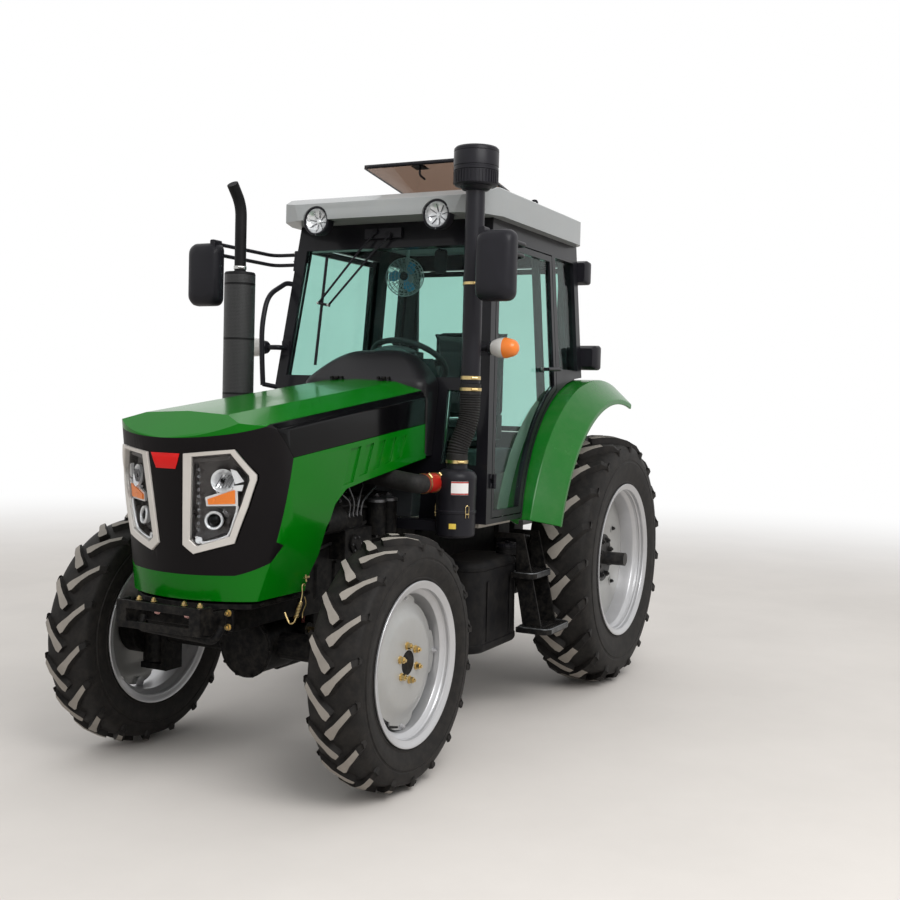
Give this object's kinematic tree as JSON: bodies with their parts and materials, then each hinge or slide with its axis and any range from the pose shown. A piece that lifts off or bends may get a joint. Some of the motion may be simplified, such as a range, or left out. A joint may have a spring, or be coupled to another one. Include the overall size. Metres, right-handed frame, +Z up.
{
  "type": "farm tractor",
  "caption": "Four-wheel-drive farm tractor with an enclosed cab, tilting hood, upright exhaust and air intake, and a three-point rear linkage.",
  "frame": {"origin": "on the ground, under the middle of the machine's length and width", "axes": "+X forward, +Y to the machine's left, +Z up"},
  "size_m": [3.8559, 1.7606, 2.7725],
  "materials": {
    "green_paint": "glossy green paint",
    "black_gloss": "gloss black",
    "nose_black": "satin black",
    "headlamp": "silver lamp housing behind a clear cover",
    "roof_grey": "light grey paint",
    "fender_green": "green paint",
    "cab_black": "satin black frame",
    "tinted_glass": "green tinted glass",
    "hatch_glass": "brown tinted panel",
    "rim_silver": "silver paint",
    "hub_black": "black paint",
    "tyre_rubber": "dusty rubber",
    "chassis_iron": "dark grey paint",
    "engine_iron": "grey paint",
    "radiator_black": "black core",
    "tank_plastic": "dark grey moulding",
    "step_steel": "black steel",
    "exhaust_black": "heat resistant black",
    "intake_plastic": "black moulding",
    "hose_rubber": "corrugated hose",
    "floor_grey": "light mat and trim",
    "interior_black": "textured trim",
    "seat_fabric": "dark cloth",
    "lamp_plastic": "amber and clear lamps",
    "link_steel": "black steel links",
    "shaft_steel": "bare steel"
  },
  "bodies": {
    "tractor": {"cab_frame": "cab_black", "fixed_panes": "tinted_glass", "roof": "roof_grey", "lamps": "lamp_plastic", "fenders": "fender_green", "cab_floor": "floor_grey", "seat": "seat_fabric", "dash": "interior_black", "steering_wheel": "interior_black", "cowl": "cab_black", "fuel_tank": "tank_plastic", "steps": "step_steel", "exhaust": "exhaust_black", "intake_pipe": "intake_plastic", "intake_hose": "hose_rubber", "air_cleaner": "intake_plastic", "mirrors": "cab_black", "engine_block": "engine_iron", "engine_auxiliaries": "engine_iron", "radiator": "radiator_black", "gearbox": "chassis_iron", "rear_axle_housing": "chassis_iron", "front_support": "chassis_iron", "weight_bracket": "step_steel", "front_axle": "chassis_iron", "drawbar": "step_steel", "pto_shaft": "shaft_steel"},
    "hood": {"hood_top": "green_paint", "hood_stripes": "black_gloss", "hood_sides": "green_paint", "nose_panel": "nose_black", "nose_band": "green_paint", "headlamps": "headlamp"},
    "door_left": {"door_frame_left": "cab_black", "door_pane_left": "tinted_glass"},
    "door_right": {"door_frame_right": "cab_black", "door_pane_right": "tinted_glass"},
    "hatch": {"roof_hatch": "hatch_glass"},
    "rear_window": {"rear_window_frame": "cab_black", "rear_window_pane": "tinted_glass"},
    "knuckle_left": {"knuckle_left": "chassis_iron"},
    "knuckle_right": {"knuckle_right": "chassis_iron"},
    "front_wheel_left": {"front_tyre_left": "tyre_rubber", "front_rim_left": "rim_silver"},
    "front_wheel_right": {"front_tyre_right": "tyre_rubber", "front_rim_right": "rim_silver"},
    "rear_wheel_left": {"rear_tyre_left": "tyre_rubber", "rear_rim_left": "rim_silver", "rear_hub_left": "hub_black"},
    "rear_wheel_right": {"rear_tyre_right": "tyre_rubber", "rear_rim_right": "rim_silver", "rear_hub_right": "hub_black"},
    "lower_links": {"lower_links": "link_steel"},
    "lift_arms": {"lift_arms": "link_steel"},
    "lift_rods": {"lift_rods": "link_steel"},
    "top_link": {"top_link": "link_steel"}
  },
  "joints": [
    {"name": "steer_left", "type": "hinge", "parent": "tractor", "child": "knuckle_left", "pos_m": [1.266, 0.57, 0.509], "axis": [0, 0, 1], "range_deg": [-30, 30]},
    {"name": "steer_right", "type": "hinge", "parent": "tractor", "child": "knuckle_right", "pos_m": [1.266, -0.57, 0.509], "axis": [0, 0, 1], "range_deg": [-30, 30]},
    {"name": "front_spin_left", "type": "hinge", "parent": "knuckle_left", "child": "front_wheel_left", "pos_m": [1.266, 0.647, 0.509], "axis": [0, 1, 0], "continuous": true},
    {"name": "front_spin_right", "type": "hinge", "parent": "knuckle_right", "child": "front_wheel_right", "pos_m": [1.266, -0.647, 0.509], "axis": [0, 1, 0], "continuous": true},
    {"name": "rear_spin_left", "type": "hinge", "parent": "tractor", "child": "rear_wheel_left", "pos_m": [-0.94, 0.705, 0.69], "axis": [0, 1, 0], "continuous": true},
    {"name": "rear_spin_right", "type": "hinge", "parent": "tractor", "child": "rear_wheel_right", "pos_m": [-0.94, -0.705, 0.69], "axis": [0, 1, 0], "continuous": true},
    {"name": "door_left_hinge", "type": "hinge", "parent": "tractor", "child": "door_left", "pos_m": [0.296, 0.6207, 1.6009], "axis": [0.1503, 0.0722, -0.986], "range_deg": [0, 75]},
    {"name": "door_right_hinge", "type": "hinge", "parent": "tractor", "child": "door_right", "pos_m": [0.296, -0.6207, 1.6009], "axis": [-0.1503, 0.0722, 0.986], "range_deg": [0, 75]},
    {"name": "hood_hinge", "type": "hinge", "parent": "tractor", "child": "hood", "pos_m": [0.513, 0, 1.65], "axis": [0, -1, 0], "range_deg": [0, 50]},
    {"name": "hatch_hinge", "type": "hinge", "parent": "tractor", "child": "hatch", "pos_m": [-0.524, 0, 2.668], "axis": [0, 1, 0], "range_deg": [0, 13]},
    {"name": "rear_window_hinge", "type": "hinge", "parent": "tractor", "child": "rear_window", "pos_m": [-0.907, 0, 2.317], "axis": [0, 1, 0], "range_deg": [0, 40]},
    {"name": "lower_link_lift", "type": "hinge", "parent": "tractor", "child": "lower_links", "pos_m": [-1.03, 0, 0.47], "axis": [0, 1, 0], "range_deg": [-20, 25]},
    {"name": "lift_arm_turn", "type": "hinge", "parent": "tractor", "child": "lift_arms", "pos_m": [-1.09, 0, 1.01], "axis": [0, 1, 0], "range_deg": [-25, 31]},
    {"name": "lift_rod_swing", "type": "hinge", "parent": "lift_arms", "child": "lift_rods", "pos_m": [-1.44, 0, 1.136], "axis": [0, 1, 0], "range_deg": [-25, 20]},
    {"name": "top_link_swing", "type": "hinge", "parent": "tractor", "child": "top_link", "pos_m": [-1.16, 0, 0.79], "axis": [0, 1, 0], "range_deg": [-30, 60]}
  ],
  "couplings": [
    {"joint": "steer_right", "follows": "steer_left", "ratio": 1},
    {"joint": "lift_arm_turn", "follows": "lower_link_lift", "ratio": 1.2286},
    {"joint": "lift_rod_swing", "follows": "lower_link_lift", "ratio": -0.996}
  ]
}
